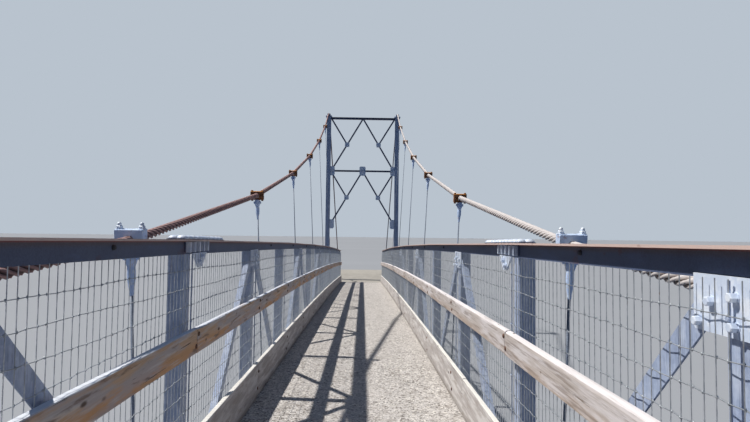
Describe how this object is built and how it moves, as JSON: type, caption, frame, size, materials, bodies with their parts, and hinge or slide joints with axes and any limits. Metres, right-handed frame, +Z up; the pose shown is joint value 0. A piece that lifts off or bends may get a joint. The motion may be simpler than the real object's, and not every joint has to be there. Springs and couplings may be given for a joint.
{
  "type": "suspension footbridge, 1:10 scale model",
  "caption": "Suspension footbridge as a 1:10 scale model: two wire-rope cables over steel towers, hanger rods, truss parapets with mesh fence, timber kerbs and rails, gravelled deck.",
  "frame": {"origin": "centre of the model's box at the ground line that the abutments and anchor blocks stand on", "axes": "+Y along the deck towards the far tower, +X to the walker's right, +Z up"},
  "size_m": [0.46, 10.062, 1.0512],
  "materials": {
    "painted_steel": "silver-grey paint, weathered, rust under the flanges",
    "galvanised_steel": "hot-dip galvanised, dull",
    "wire_rope": "twisted wire rope, brown rust",
    "weathered_timber": "sawn, weathered grey-brown",
    "gravel_surface": "fine bonded gravel",
    "concrete": "board-marked concrete"
  },
  "bodies": {
    "root": {"deck_near": "gravel_surface", "deck_middle": "gravel_surface", "deck_far": "gravel_surface", "floor_frame": "painted_steel", "truss_left_near": "painted_steel", "truss_left_middle": "painted_steel", "truss_left_far": "painted_steel", "kerb_left": "weathered_timber", "mid_rail_left": "weathered_timber", "mesh_fence_left": "galvanised_steel", "main_cable_left": "wire_rope", "truss_right_near": "painted_steel", "truss_right_middle": "painted_steel", "truss_right_far": "painted_steel", "kerb_right": "weathered_timber", "mid_rail_right": "weathered_timber", "mesh_fence_right": "galvanised_steel", "main_cable_right": "wire_rope", "hanger_frame_01": "galvanised_steel", "hanger_frame_02": "galvanised_steel", "hanger_frame_03": "galvanised_steel", "hanger_frame_04": "galvanised_steel", "hanger_frame_05": "galvanised_steel", "hanger_frame_06": "galvanised_steel", "hanger_frame_07": "galvanised_steel", "hanger_frame_08": "galvanised_steel", "hanger_frame_09": "galvanised_steel", "hanger_frame_10": "galvanised_steel", "hanger_frame_11": "galvanised_steel", "hanger_frame_12": "galvanised_steel", "hanger_frame_13": "galvanised_steel", "hanger_frame_14": "galvanised_steel", "hanger_frame_15": "galvanised_steel", "hanger_frame_16": "galvanised_steel", "tower_column_near_left": "painted_steel", "wing_rail_near_left": "painted_steel", "tower_column_near_right": "painted_steel", "wing_rail_near_right": "painted_steel", "tower_bracing_near": "painted_steel", "abutment_near": "concrete", "anchor_block_near": "concrete", "tower_column_far_left": "painted_steel", "wing_rail_far_left": "painted_steel", "tower_column_far_right": "painted_steel", "wing_rail_far_right": "painted_steel", "tower_bracing_far": "painted_steel", "abutment_far": "concrete", "anchor_block_far": "concrete"}
  },
  "joints": []
}
